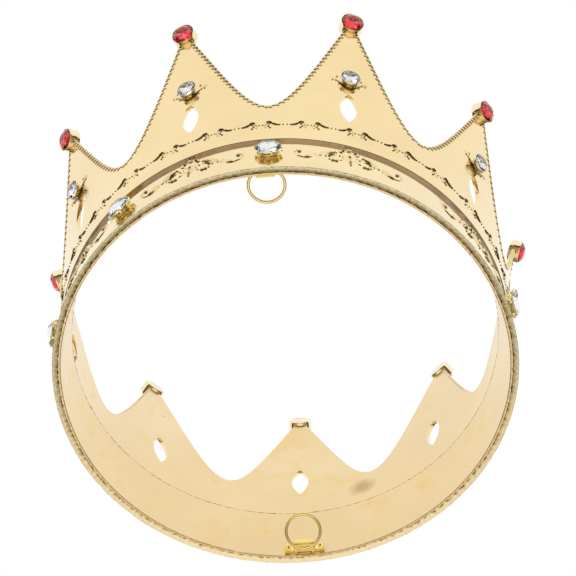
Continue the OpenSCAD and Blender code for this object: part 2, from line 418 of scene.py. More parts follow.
def smooth_path(points, per_span=5):
    """A Catmull-Rom curve through points."""
    pts = [Vector(p) for p in points]
    pts = [pts[0] * 2 - pts[1]] + pts + [pts[-1] * 2 - pts[-2]]
    out = []
    for i in range(1, len(pts) - 2):
        a, b, c, d = pts[i - 1:i + 3]
        for k in range(per_span):
            t = k / per_span
            out.append(((b * 2) + (c - a) * t + (a * 2 - b * 5 + c * 4 - d) * t * t
                        + (b * 3 - a - c * 3 + d) * t ** 3) * 0.5)
    out.append(pts[-2])
    return out


RELIEF_WIDE = 1.2                      # how much wider a line of relief is than the width it is given
RELIEF_STEEP = 0.52                    # the most it rises, as a share of its width
RELIEF_SUNK = 0.03                     # mm below the surface, so that no gap shows


def ridge(path, width, height, surface, taper):
    """A raised half-round line along a flat path (x along the hoop, y up, in mm) laid on a surface."""
    section = [math.pi * k / 8 for k in range(9)]
    verts, count = [], len(path)
    width *= RELIEF_WIDE
    rise = min(height, RELIEF_STEEP * width)
    for i, p in enumerate(path):
        ahead, behind = path[min(i + 1, count - 1)], path[max(i - 1, 0)]
        along = (ahead - behind).normalized()
        side = Vector((-along.y, along.x, 0))
        s = i / (count - 1)
        swell = taper + (1 - taper) * math.sin(math.pi * s) ** 0.6
        for t in section:
            q = p + side * (math.cos(t) * width / 2 * swell)
            verts.append(surface(q.x, q.y, rise * swell * (1 - abs(math.cos(t)) ** 1.4) - RELIEF_SUNK))
    return verts, rod_faces(count, len(section))


def laid_on(radius_at, centre_angle, centre_z):
    """Maps (mm along, mm up, mm out) from a middle place onto the surface that has those radii."""
    def place(x, y, out):
        z = centre_z + y * MM
        r = radius_at(z)
        return around(centre_angle + math.degrees(x * MM / r), r + out * MM, z)
    return place


# ---------------------------------------------------------------- flared wall
SHEET_STEP = 1.25                     # spacing of the wall's mesh, in mm
MM_PER_DEGREE = 1.4                   # flat width of a degree of the wall
OVAL_STEPS = 18                       # straight lengths from an oval hole's widest place to its tip
WELD = 0.002 * MM                     # points this near become one, where two points of the crown meet


def oval_outline():
    """The hole in each point as (mm along, height in mm): two equal arcs that meet above and below."""
    w, h, mid = OVAL_W / MM / 2, OVAL_H / MM / 2, OVAL_Z / MM
    arc = (w * w + h * h) / (2 * w)
    reach = math.asin(h / arc)
    out = []
    for turn in (1, -1):
        for i in range(-OVAL_STEPS, OVAL_STEPS):
            a = reach * i / OVAL_STEPS
            out.append((turn * (arc * math.cos(a) - arc + w), mid + turn * arc * math.sin(a)))
    return out


def inside(point, loop):
    """True if a flat point lies inside a closed loop."""
    x, y, odd = point[0], point[1], False
    for i, (x1, y1) in enumerate(loop):
        x0, y0 = loop[i - 1]
        if (y0 > y) != (y1 > y) and x < x0 + (x1 - x0) * (y - y0) / (y1 - y0):
            odd = not odd
    return odd


def edge_line(last, count):
    """One side of a point as (share of the way from valley to tip, height in mm), up to the share last."""
    return [(u, edge_z(u) / MM) for u in (last * i / count for i in range(count + 1))]


def crown_wall():
    """The wall's nine points as one thick sheet, smooth on both faces."""
    reach = 1.0
    while edge_z(reach) > RED_Z:
        reach -= 0.0005
    low = FOOT_Z / MM
    half_w = HALF * MM_PER_DEGREE
    seam_steps = round((VALLEY_Z / MM - low) / SHEET_STEP)
    foot_steps = round(2 * half_w / SHEET_STEP)
    side = edge_line(reach, 60)
    loop = [(-half_w + 2 * half_w * i / foot_steps, low) for i in range(foot_steps)]
    loop += [(half_w, low + (VALLEY_Z / MM - low) * i / seam_steps) for i in range(seam_steps)]
    loop += [(half_w * (1 - u), z) for u, z in side]
    loop += [(-half_w * (1 - u), z) for u, z in reversed(side)]
    loop += [(-half_w, low + (VALLEY_Z / MM - low) * i / seam_steps) for i in range(seam_steps - 1, 0, -1)]
    r_hole = wall_r(OVAL_Z) / MM
    hole = [(math.degrees(x / r_hole) * MM_PER_DEGREE, z) for x, z in oval_outline()]
    flat = [Vector(p) for p in loop + hole]
    edges = [(i, (i + 1) % len(loop)) for i in range(len(loop))]
    edges += [(len(loop) + i, len(loop) + (i + 1) % len(hole)) for i in range(len(hole))]
    rows = int((RED_Z / MM - low) / SHEET_STEP) + 1
    for j in range(1, rows):
        for i in range(1, foot_steps):
            p = (-half_w + 2 * half_w * i / foot_steps, low + j * SHEET_STEP)
            if not inside(p, loop) or inside(p, hole):
                continue
            if min((p[0] - q[0]) ** 2 + (p[1] - q[1]) ** 2 for q in loop + hole) < (0.5 * SHEET_STEP) ** 2:
                continue
            flat.append(Vector(p))
    flat, _, tris, *_ = delaunay_2d_cdt(flat, edges, [], 1, 1e-5)
    tris = [t for t in tris if not inside(sum((flat[i] for i in t), Vector((0, 0))) / 3, hole)]
    uses = {}
    for t in tris:
        for k in range(3):
            pair = (t[k], t[(k + 1) % 3])
            key = tuple(sorted(pair))
            uses[key] = None if key in uses else pair
    rim = [pair for pair in uses.values() if pair]
    rim = [p for p in rim if not all(abs(abs(flat[i].x) - half_w) < 1e-4 for i in p)]
    verts, faces, skins = [], [], []
    n = len(flat)
    for centre in POINT_ANGLES:
        base = len(verts)
        for back in (0.0, WALL_T):
            for p in flat:
                z = p.y * MM
                verts.append(around(centre + p.x / MM_PER_DEGREE, wall_r(z) - back, z))
        faces += [tuple(base + i for i in t) for t in tris]
        skins += [0] * len(tris)
        faces += [tuple(base + n + i for i in reversed(t)) for t in tris]
        skins += [1] * len(tris)
        faces += [(base + b, base + a, base + n + a, base + n + b) for a, b in rim]
        skins += [0] * len(rim)
    piece = make_piece("crown_wall_sheet", verts, faces, outer_gold, "polished_gold", edge_angle=40,
                       skins=skins, weld=WELD)
    piece.data.materials.append(inner_gold)
    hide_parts("crown_wall")


crown_wall()


# ---------------------------------------------------------------- base band and its lining
SEAM_HALF = 0.35                       # half the width of the solder seam's groove, in degrees
SEAM_DEEP = 0.22                       # depth of the groove, in mm
LUMP_WAVES = 9                         # sine waves added up into one ragged wave
RIM_HIGH = 1.3 * MM                    # the ground underside of the rim ends below this height


def seam_dip(angle):
    """Depth in mm of the soldered seam at the front of the hoop."""
    off = math.degrees(angle)
    off = min(off, 360 - off)
    return SEAM_DEEP * max(0.0, 1 - off / SEAM_HALF)


def lump_table(seed, top=240):
    """A fixed random wave round a hoop, between about -1 and 1, worked out once for each of its steps."""
    rng = random.Random(seed)
    waves = [(rng.randint(top // 12, top), rng.random() * 2 * math.pi) for _ in range(LUMP_WAVES)]
    angles = [2 * math.pi * i / HOOP_STEPS for i in range(HOOP_STEPS)]
    size = math.sqrt(LUMP_WAVES) * 1.4
    return [sum(math.sin(freq * a + phase) for freq, phase in waves) / size for a in angles]


def base_band():
    """The hoop with a cove and bead moulding under the wall and a ragged ground underside."""
    r0, top, t = RIM_R / MM, FOOT_Z / MM, BAND_T / MM
    foot = FOOT_R / MM
    low, ledge = BAND_H / MM, BAND_H / MM + 0.1
    groove = [(0.35, 0.0), (0.45, 0.16), (0.70, 0.16), (0.85, 0.0)]
    face = groove + [(z, 0) for z in (3, 6, 10, 14, 18, 21)]
    face += [(low - 0.35, 0), (low - 0.25, 0.14), (low, 0.14)]
    outer = [(band_r(z * MM) / MM - dip, z) for z, dip in face]
    bead = [(foot - 0.9, ledge)]
    for k in range(7):
        a = -math.pi / 2 + math.pi / 2 * k / 6
        bead.append((foot - 0.35 + 0.35 * math.cos(a), ledge + 0.35 + 0.35 * math.sin(a)))
    bead.append((foot, top))
    inner = [(r0 - t - 0.02 + (band_r(z * MM) / MM - r0), z) for z in (21, 16, 11, 6, 2, 0.5)]
    inner_top = BAND_TOP_R / MM - t
    ring_top = [(inner_top + 0.2, top), (inner_top, top - 0.2)]
    under = [(r0 - t + 0.2, 0.34), (r0 - 1.0, 0.2), (r0 - 0.45, 0.02), (r0 - 0.2, 0.0),
             (r0 - 0.06, 0.12), (r0 - 0.08, 0.6)]
    profile = [(r * MM, z * MM) for r, z in outer + bead + ring_top + inner + under]
    grit_a, grit_b, grit_c = lump_table(11), lump_table(12), lump_table(13)
    under_from = len(profile) - len(under)
    inner_end = under_from - 1

    def wobble(i, k, r, z):
        a = 2 * math.pi * i / HOOP_STEPS
        if k in (inner_end, under_from):
            return r + (0.24 * grit_a[i] + 0.05) * MM, z + (0.1 * grit_b[i] + 0.1) * MM
        if k > under_from:
            z *= 0.65 - 0.35 * math.cos(a)
            return r, z + max(0.0, 0.05 + 0.06 * grit_c[(i * (k - under_from + 1)) % HOOP_STEPS]) * MM
        if k in (0, 1, 2):
            return r, z + 0.09 * grit_a[i] * MM
        return r - (seam_dip(a) * MM if k < len(outer) else 0), z

    verts, faces = turned(profile, wobble)
    piece = make_piece("base_hoop", verts, faces, outer_gold, "polished_gold", edge_angle=28)
    inside_slot, rim_slot, ledge_shade_slot, painted_shade_slot = 1, 2, 3, 4
    for material in (inner_gold, ground_rim, ledge_painted_shade, painted_shade_gold):
        piece.data.materials.append(material)
    # The ledge's underside and the cove's down-facing faces, with the small groove under them, get painted
    # shade colours.
    for polygon in piece.data.polygons:
        c, n = polygon.center, polygon.normal
        out = (c.x * n.x + c.y * n.y) / math.hypot(c.x, c.y)
        if c.z < RIM_HIGH and n.z < -0.2:
            polygon.material_index = rim_slot
        elif n.z < -0.8 and BAND_H - 0.2 * MM < c.z < FOOT_Z and out > -0.3:
            polygon.material_index = ledge_shade_slot
        elif n.z < -0.25 and BAND_H < c.z < FOOT_Z and out > 0:
            polygon.material_index = painted_shade_slot
        elif out > 0.5 and BAND_H - 0.27 * MM < c.z < BAND_H:
            polygon.material_index = painted_shade_slot
        elif out < -0.3:
            polygon.material_index = inside_slot
    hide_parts("base_band")


def lining():
    """The strip soldered inside the band, with a ragged gap at its lower edge."""
    t = LINING_T / MM
    low, high = LINING_LOW / MM, LINING_HIGH / MM
    heights = [low + 0.25, 3, 8, 13, 18, high - 0.25]
    outer = [(band_r(z * MM) / MM - BAND_T / MM - 0.06, z) for z in heights]
    inner = [(band_r(z * MM) / MM - BAND_T / MM - t, z) for z in reversed(heights)]
    top = [(outer[-1][0] - 0.2, high), (inner[0][0] + 0.2, high)]
    foot = [(inner[-1][0] + 0.2, low), (outer[0][0] - 0.08, low)]
    profile = [(r * MM, z * MM) for r, z in outer + top + inner + foot]
    gap, edge = lump_table(21, 150), lump_table(22, 400)
    last = len(profile) - 1

    def wobble(i, k, r, z):
        if k in (0, last):
            return r - max(0.0, 0.02 + 0.10 * gap[i]) * MM, z + 0.1 * abs(edge[i]) * MM
        if k == last - 1:
            return r, z + 0.12 * abs(edge[i]) * MM
        return r, z

    verts, faces = turned(profile, wobble)
    piece = make_piece("lining_hoop", verts, faces, inner_gold, "polished_gold", edge_angle=28)
    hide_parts("lining_strip")


def lining_top_shade_line():
    """A thin broken dark line along the lining's upper edge, shaped as a line of solder: painted shade along
    the top of the lining.
    """
    z = LINING_HIGH / MM - 0.1
    r = band_r(LINING_HIGH) / MM - BAND_T / MM - LINING_T / MM + 0.03
    shade_line_wave = lump_table(41)
    shape = [(math.cos(k * math.pi / 4), math.sin(k * math.pi / 4)) for k in range(8)]

    def wobble(i, k, _, __):
        size = max(0.03, 0.045 + 0.07 * shade_line_wave[i])
        return (r + size * shape[k][0]) * MM, (z + size * shape[k][1]) * MM

    verts, faces = turned([(r * MM, z * MM)] * 8, wobble)
    make_piece("lining_top_shade_line", verts, faces, painted_shade_gold, "polished_gold", edge_angle=60)


base_band()
lining()
lining_top_shade_line()


# ---------------------------------------------------------------- beading along the points
# Lengths are in mm. Half-axes are along the edge, across it and out from the wall.
BEAD_PITCH = 2.5
BEAD_DROP = 0.7125                     # how far the row of beads lies below the edge
BEAD_AXES, BEAD_SUNK = (0.98, 1.1, 0.8), 0.32
# Half-axes and outward offset of the dark marks in the gaps between beads: painted shade.
GAP_SHADE_AXES, GAP_SHADE_ASIDE = (0.72, 0.48, 0.2), 0.3
BEADS_REACH = 0.975                    # share of the way to the tip where the beads stop


def edge_beading():
    """Milled beads along both edges of every point, with dark marks of painted shade in the gaps between them
    on their outer side.
    """
    pile, gap_shade_marks = Pile(), Pile()
    samples = edge_line(BEADS_REACH, 400)
    for centre in POINT_ANGLES:
        for side in (-1, 1):
            path = []
            for u, z in samples:
                z_bead = (z - BEAD_DROP) * MM
                path.append(around(centre + side * HALF * (1 - u), wall_r(z_bead) - 0.05 * MM, z_bead))
            length, travelled = 0.0, [0.0]
            for a, b in zip(path, path[1:]):
                length += (b - a).length
                travelled.append(length)
            count = int(length / (BEAD_PITCH * MM))
            for k in range(2 * count + 1):
                want = length * (k / 2 + 0.25) / (count + 0.25)
                i = max(1, next((i for i, d in enumerate(travelled) if d >= want), len(path) - 1))
                p = path[i]
                along = (path[i] - path[i - 1]).normalized()
                out = Vector((p.x, p.y, 0)).normalized()
                tangent = Vector((-out.y, out.x, 0))
                out = (out - along * out.dot(along)).normalized()
                across = along.cross(out)
                away = across if across.dot(tangent * side + Vector((0, 0, 1))) > 0 else -across
                if k % 2 == 0:
                    axes = [way * size * MM for way, size in zip((along, away, out), BEAD_AXES)]
                    pile.add(*ball(p - out * BEAD_SUNK * MM, axes, 9, 14))
                else:
                    axes = [way * size * MM for way, size in zip((along, away, out), GAP_SHADE_AXES)]
                    gap_shade_marks.add(*ball(p + away * GAP_SHADE_ASIDE * MM, axes, 6, 10))
    pile.piece("edge_beading", relief_gold, "polished_gold", edge_angle=80)
    gap_shade_marks.piece("edge_lows", bead_gap_painted_shade, "polished_gold", edge_angle=80)


edge_beading()


# ---------------------------------------------------------------- scrolls in relief
VINE_REPEATS = 30
VINE_START = -1.9                      # angle of the gap between two scrolls that is nearest the front
VINE_Z = 32.3 * MM
FLOURISH_Z = 13.6 * MM
FACES_DOWN = -0.46                     # flanks whose normal's z is lower than this take the painted shade


def paint_shade_on_down_flanks(piece):
    """Painted shade on the flanks of the relief that face down."""
    piece.data.materials.append(painted_shade_gold)
    for polygon in piece.data.polygons:
        if polygon.normal.z < FACES_DOWN:
            polygon.material_index = 1


def wall_vine():
    """A line of mirrored hooked scrolls and dots round the wall above the moulding."""
    pile = Pile()
    arch = smooth_path([(1.5, -1.9, 0), (1.3, -0.3, 0), (1.7, 1.15, 0), (2.7, 1.7, 0), (3.6, 1.15, 0),
                        (4.4, 0.3, 0), (5.3, -0.15, 0), (6.5, -0.2, 0)], 5)
    hook = smooth_path([(3.1, 0.5, 0), (2.4, 0.2, 0), (2.3, -0.8, 0), (2.9, -1.5, 0)], 5)
    dots = ((7.3, 0.05, 0.34), (3.0, -1.75, 0.42), (0.55, 0.1, 0.3))
    for i in range(VINE_REPEATS):
        surface = laid_on(wall_r, VINE_START + 360 / VINE_REPEATS * i, VINE_Z)
        for flip in (-1, 1):
            place = mirrored(surface, flip)
            pile.add(*ridge(arch, 0.85, 0.6, place, taper=0.45))
            pile.add(*ridge(hook, 0.65, 0.5, place, taper=0.5))
            for x, y, r in dots:
                pile.add(*ball(place(x, y, 0.05), bead_axes(place, x, y, r), 5, 8))
    paint_shade_on_down_flanks(pile.piece("wall_vine", relief_gold, "polished_gold", edge_angle=60))


def bead_axes(surface, x, y, r):
    """Axes of a small half-sunk bead on a surface."""
    p = surface(x, y, 0)
    along = (surface(x + 0.1, y, 0) - p).normalized()
    up = (surface(x, y + 0.1, 0) - p).normalized()
    return along * r * MM, up * r * MM, along.cross(up) * r * 0.75 * MM


def mirrored(surface, flip):
    """A surface with its pattern flipped along the hoop."""
    def place(x, y, out):
        return surface(flip * x, y, out)
    return place


def strokes(pile, place, lines):
    """Adds raised lines, each given as its width, its height and the points it runs through."""
    for width, height, points in lines:
        path = smooth_path([(x, y, 0) for x, y in points], 6)
        pile.add(*ridge(path, width, height, place, taper=0.3))


def band_flourish():
    """Symmetric scrollwork on the band below each point."""
    pile = Pile()
    side_lines = (
        (0.65, 0.5, ((0.0, 8.7), (0.75, 8.0), (0.85, 6.9), (0.0, 5.7))),
        (0.8, 0.55, ((1.5, 5.6), (2.5, 6.1), (3.2, 5.0), (2.3, 3.9))),
        (0.7, 0.5, ((0.0, -0.6), (0.9, 1.6), (1.9, 3.6))),
        (0.7, 0.5, ((0.0, -3.6), (0.9, -2.0), (1.7, -0.4))),
        (0.6, 0.45, ((2.4, 2.2), (2.2, 0.2), (2.7, -1.8), (3.6, -2.9))),
        (1.0, 0.6, ((4.1, 3.5), (5.5, 3.2), (6.9, 1.7))),
        (0.7, 0.5, ((4.9, 3.5), (4.8, 1.8), (5.1, 0.5))),
        (1.6, 0.75, ((4.7, 3.1), (6.6, 2.9), (8.6, 1.2), (10.1, -1.3))),
        (0.8, 0.5, ((5.3, 0.9), (6.9, 0.6), (8.4, -1.2))),
        (0.6, 0.45, ((6.4, -1.2), (7.4, -0.6), (8.2, -2.2))),
        (0.5, 0.4, ((10.7, -0.5), (11.2, -1.9), (10.8, -3.3))),
        (2.0, 0.8, ((11.3, -0.8), (13.2, -2.4), (15.2, -4.2))),
        (0.6, 0.45, ((14.8, -4.5), (17.1, -3.0), (18.2, -0.6), (17.6, 1.3), (16.4, 1.3))))
    side_dots = ((5.9, -3.7, 0.7), (4.7, -3.7, 0.7), (16.6, 0.8, 0.75), (7.0, -3.1, 0.4), (3.4, 1.2, 0.4))
    middle_dots = ((0, 2.4, 0.6), (0, 7.2, 0.4), (0, -1.9, 0.55), (0, -4.7, 0.45))
    for angle in POINT_ANGLES:
        surface = laid_on(band_r, angle, FLOURISH_Z)
        for flip in (-1, 1):
            place = mirrored(surface, flip)
            strokes(pile, place, side_lines)
            for x, y, r in side_dots:
                pile.add(*ball(place(x, y, 0.05), bead_axes(place, x, y, r), 6, 10))
        for x, y, r in middle_dots:
            pile.add(*ball(surface(x, y, 0.05), bead_axes(surface, x, y, r), 6, 10))
    paint_shade_on_down_flanks(pile.piece("band_flourish", relief_gold, "polished_gold", edge_angle=60))


def point_filigree():
    """A chevron and hooks of scrollwork round the clear stone on each point."""
    pile = Pile()
    side_lines = (
        (1.0, 0.6, ((4.7, 0.3), (3.5, -1.2), (2.3, -2.5), (1.1, -3.8), (0.0, -4.9))),
        (0.75, 0.5, ((3.6, -0.3), (2.9, -1.4), (2.0, -1.9), (1.5, -2.9))),
        (0.6, 0.45, ((0.9, -2.9), (0.3, -3.6), (0.0, -3.0))),
        (0.85, 0.5, ((4.5, -0.9), (4.9, 0.3), (5.6, 1.3))),
        (0.85, 0.5, ((5.6, -0.9), (6.0, 0.3), (6.7, 1.2))),
        (0.6, 0.45, ((3.9, 1.4), (4.4, 2.1), (4.0, 2.9))))
    for angle in POINT_ANGLES:
        surface = laid_on(wall_r, angle, CLEAR_Z)
        for flip in (-1, 1):
            place = mirrored(surface, flip)
            strokes(pile, place, side_lines)
            pile.add(*ball(place(3.5, -2.4, 0.05), bead_axes(place, 3.5, -2.4, 0.35), 5, 8))
    paint_shade_on_down_flanks(pile.piece("point_filigree", relief_gold, "polished_gold", edge_angle=60))


wall_vine()
band_flourish()
point_filigree()


# ---------------------------------------------------------------- cups and stones
BASKET_WIRE, BASKET_TOP_WIRE = 0.3 * MM, 0.26 * MM    # half the thickness of the baskets' wires
# Each cup as the height of its back and of its rim over the surface, and the depth of its bore
TIP_CUP = (-1.9 * MM, 2.3 * MM, 1.8 * MM)
POINT_CUP = (-0.9 * MM, 2.4 * MM, 1.6 * MM)
BAND_CUP = (-0.5 * MM, 2.1 * MM, 2.0 * MM)
# Each stone as its radius, the height of its girdle over the surface and the depth of its pavilion
RED_STONE = (RED_R + 0.12 * MM, 2.15 * MM, 0.8 * MM)
POINT_STONE = (CLEAR_R - 0.1 * MM, 2.4 * MM, 0.75 * MM)
BAND_STONE = (BAND_STONE_R + 0.2 * MM, 2.1 * MM, 1.4 * MM)


def brilliant(r, rim, depth, place):
    """A round brilliant: crown and girdle faces first, then the pavilion's. Heights are above the surface."""
    girdle, crown = 0.3 * MM, r * 0.38
    top, g1, g0 = rim + crown - 0.02 * MM, rim + 0.02 * MM, rim - girdle
    table = [(0.56 * r, 45 * i, top) for i in range(8)]
    star = [(0.80 * r, 45 * i + 22.5, g1 + crown * 0.50) for i in range(8)]
    high = [(r, 22.5 * j, g1) for j in range(16)]
    lower = [(r, 22.5 * j, g0) for j in range(16)]
    mid = [(0.42 * r, 45 * i + 22.5, g0 - depth * 0.62) for i in range(8)]
    rings = table + star + high + lower + mid + [(0, 0, g0 - depth)]
    verts = []
    for q, degrees, z in rings:
        a = math.radians(degrees)
        verts.append(place @ Vector((q * math.cos(a), q * math.sin(a), z)))
    t, s, g, h, m, tip = 0, 8, 16, 32, 48, 56
    crown_faces = [tuple(range(8))]
    pavilion = []
    for i in range(8):
        n = (i + 1) % 8
        crown_faces += [
            (t + i, s + i, t + n), (t + i, s + (i - 1) % 8, g + 2 * i, s + i),
            (s + i, g + 2 * i, g + 2 * i + 1), (s + i, g + 2 * i + 1, g + (2 * i + 2) % 16)]
        pavilion += [
            (m + i, h + 2 * i + 1, h + 2 * i), (m + i, h + (2 * i + 2) % 16, h + 2 * i + 1),
            (tip, m + i, h + 2 * i, m + (i - 1) % 8)]
    for j in range(16):
        crown_faces.append((g + j, h + j, h + (j + 1) % 16, g + (j + 1) % 16))
    return verts, crown_faces, pavilion


def cut_stone(name, node, size, place, glass, foil, slot):
    """A cut stone of glass, with mirror foil on its pavilion."""
    verts, crown_faces, pavilion = brilliant(*size, place)
    piece = make_piece(name, verts, crown_faces + pavilion, glass, slot, smooth=False)
    piece.data.materials.append(foil)
    for polygon in list(piece.data.polygons)[len(crown_faces):]:
        polygon.material_index = 1
    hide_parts(node)


def cup_body(foot, r_out, r_in, low, high, bore):
    """Profile of a turned cup, rounded at its edges, with a countersunk bore for the stone."""
    e = 0.22 * MM
    floor = high - bore
    return [(0, low), (foot - 0.5 * MM, low), (foot - 0.15 * MM, low + 0.12 * MM), (foot, low + 0.45 * MM),
            ((foot + r_out) / 2, (low + high) / 2), (r_out, high - 0.6 * MM), (r_out, high - e),
            (r_out - 0.06 * MM, high - 0.06 * MM), (r_out - 0.16 * MM, high - 0.02 * MM),
            (r_in + 0.1 * MM, high - 0.31 * MM), (r_in * 0.7, floor), (0, floor)]


def claw(r_in, r_out, low, high, angle, width):
    """A small claw bent over the stone's girdle, as a rounded finger in a radial plane."""
    rm = (r_in + r_out) / 2 + 0.03 * MM
    line = [(rm, low), (rm, high - 0.25 * MM),
            (rm - 0.14 * MM, high + 0.08 * MM), (rm - 0.42 * MM, high + 0.26 * MM)]
    path = smooth_path([(x, 0, z) for x, z in line], 4)
    spin = Matrix.Rotation(angle, 4, "Z")
    verts, m = [], 8
    for i, p in enumerate(path):
        s = i / (len(path) - 1)
        ahead, behind = path[min(i + 1, len(path) - 1)], path[max(i - 1, 0)]
        along = (ahead - behind).normalized()
        out = Vector((along.z, 0, -along.x))
        w = width / 2 * (1 - 0.45 * s * s)
        t = (r_out - r_in) / 2 * (1 - 0.35 * s)
        for k in range(m):
            a = 2 * math.pi * k / m
            verts.append(spin @ (p + Vector((0, 1, 0)) * (w * math.cos(a)) + out * (t * math.sin(a))))
    return verts, rod_faces(len(path), m)


def cup(name, node, stone_r, heights, place, material, claws=0, basket=False, foot=1.0):
    """A stone's setting: a turned cup with claws, and on the band an open basket of chevrons round it."""
    low, high, bore = heights
    r_out = stone_r + CUP_T
    pile = Pile()
    body_r = r_out - 0.35 * MM if basket else r_out
    foot_r = body_r * foot
    profile = cup_body(foot_r, body_r, stone_r, low, high, bore)
    pile.add(*lathe(profile, 64, place))
    for k in range(claws):
        a = math.radians(45) + 2 * math.pi * k / claws
        verts, faces = claw(stone_r, r_out, high - 1.2 * MM, high, a, (1.1 if basket else 0.8) * MM)
        pile.add([place @ v for v in verts], faces)
    if basket:
        low_z, high_z = low + 0.8 * MM, high - 0.4 * MM
        teeth = 14
        zigzag = [(math.pi * k / teeth, *((body_r, high_z) if k % 2 else (foot_r, low_z)))
                  for k in range(teeth * 2 + 1)]
        for start, end in zip(zigzag, zigzag[1:]):
            pile.add(*bar(start, end, BASKET_WIRE, place))
        pile.add(*hoop(foot_r + 0.1 * MM, low_z, BASKET_WIRE, place))
        pile.add(*hoop(body_r + 0.1 * MM, high_z, BASKET_TOP_WIRE, place))
    piece = pile.piece(name, material, "cup_gold", edge_angle=40)
    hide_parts(node)


def bar(start, end, thick, place):
    """A round bar round a cone from one (angle, radius, height) to another."""
    verts, m, count = [], 8, 4
    steps = [[p + (q - p) * i / count for p, q in zip(start, end)] for i in range(count + 1)]
    along = (Matrix.Rotation(end[0] - start[0], 3, "Z") @ Vector((end[1], 0, end[2]))
             - Vector((start[1], 0, start[2]))).normalized()
    line = Matrix.Rotation(start[0], 3, "Z") @ along
    for a, r, z in steps:
        out = Vector((math.cos(a), math.sin(a), 0))
        side = out.cross(line).normalized()
        for k in range(m):
            t = 2 * math.pi * k / m
            centre = out * (r + thick * math.cos(t)) + Vector((0, 0, z))
            verts.append(place @ (centre + side * (thick * math.sin(t))))
    return verts, rod_faces(count + 1, m)


def hoop(r, z, thick, place):
    """A thin round ring about the local Z axis."""
    verts, steps, m = [], 48, 8
    for i in range(steps):
        a = 2 * math.pi * i / steps
        for k in range(m):
            t = 2 * math.pi * k / m
            q = r + thick * math.cos(t)
            verts.append(place @ Vector((q * math.cos(a), q * math.sin(a), z + thick * math.sin(t))))
    return verts, loop_faces(steps, m)


for i, angle in enumerate(POINT_ANGLES, 1):
    place = on_surface(angle, wall_r(RED_Z), RED_Z, RED_TILT)
    cup(f"tip_setting_{i}", f"tip_cup_{i}", RED_R, TIP_CUP, place, cup_gold)
    cut_stone(f"red_glass_{i}", f"red_stone_{i}", RED_STONE, place, red_glass, red_foil, "red_stone")
    place = on_surface(angle, wall_r(CLEAR_Z), CLEAR_Z, CLEAR_TILT)
    cup(f"point_setting_{i}", f"point_cup_{i}", CLEAR_R - 0.25 * MM, POINT_CUP, place, point_cup_gold,
        claws=4, foot=0.5)
    cut_stone(f"point_glass_{i}", f"point_stone_{i}", POINT_STONE, place,
              clear_glass, silver_foil, "clear_stone")
for i, angle in enumerate(BAND_STONE_ANGLES, 1):
    place = on_surface(angle, band_r(BAND_STONE_Z), BAND_STONE_Z, -BAND_LEAN)
    cup(f"band_setting_{i}", f"band_cup_{i}", BAND_STONE_R, BAND_CUP, place, basket_gold,
        claws=6, basket=True, foot=0.74)
    cut_stone(f"band_glass_{i}", f"band_stone_{i}", BAND_STONE, place,
              clear_glass, silver_foil, "clear_stone")


# ---------------------------------------------------------------- rings and clips
RING_MID_R = 5.95 * MM
RING_WIRE_R = 0.55 * MM
WIRE_DROP = 0.5 * MM
HINGE_IN = 1.45 * MM
# Each ring's place round the crown and height of its hinge, its rest angle over level and its random seed
HINGES = {"front": (-1.1, 8.8 * MM, -4, 31), "back": (179, 3.2 * MM, 42, 37)}


def hinge_frame(angle, z):
    """At a ring's hinge: +Y inwards across the crown, X along the hinge line."""
    r = band_r(z) - BAND_T - LINING_T - HINGE_IN
    return Matrix.Rotation(math.radians(angle), 4, "Z") @ Matrix.Translation((0, -r, z))


def wire_ring(side):
    """A hand-bent ring of round wire, very slightly uneven, and thinner where its ends meet."""
    angle, z, turn, seed = HINGES[side]
    place = hinge_frame(angle, z) @ Matrix.Rotation(math.radians(turn), 4, "X")
    place = place @ Matrix.Translation((0, RING_MID_R - WIRE_DROP, 0))
    rng = random.Random(seed)
    waves = [(k, rng.uniform(-1, 1) * 0.05 * MM / k, rng.random() * 6.28) for k in (3, 4, 5, 7)]
    verts, steps, m = [], 160, 20
    wire_mid_r = RING_MID_R - 0.03 * MM
    for i in range(steps):
        a = 2 * math.pi * i / steps
        off = sum(size * math.sin(k * a + phase) for k, size, phase in waves)
        thin = 0.06 * MM * math.exp(-((a - 1.5 * math.pi) / 0.02) ** 2)
        wire = RING_WIRE_R - thin - 0.01 * MM
        for k in range(m):
            t = 2 * math.pi * k / m
            q = wire_mid_r + off + wire * math.cos(t)
            verts.append(place @ Vector((q * math.cos(a), q * math.sin(a), wire * math.sin(t))))
    piece = make_piece(f"{side}_wire_ring", verts, loop_faces(steps, m), ring_gold, "wire_gold",
                       body=f"{side}_ring", edge_angle=60)
    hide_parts(f"{side}_ring")


def ring_clip(side):
    """The CAD clip with its edges softened."""
    clip = bpy.data.objects[f"{side}_ring_clip"]
    verts = [clip.matrix_world @ vertex.co for vertex in clip.data.vertices]
    faces = [tuple(polygon.vertices) for polygon in clip.data.polygons]
    piece = make_piece(f"{side}_bow_clip", verts, faces, deep_gold, "wire_gold", edge_angle=30)
    soften = piece.modifiers.new("soften", "BEVEL")
    soften.width = 0.12 * MM
    soften.segments = 3
    soften.limit_method = "ANGLE"
    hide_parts(f"{side}_ring_clip")


for side in ("front", "back"):
    wire_ring(side)
    ring_clip(side)


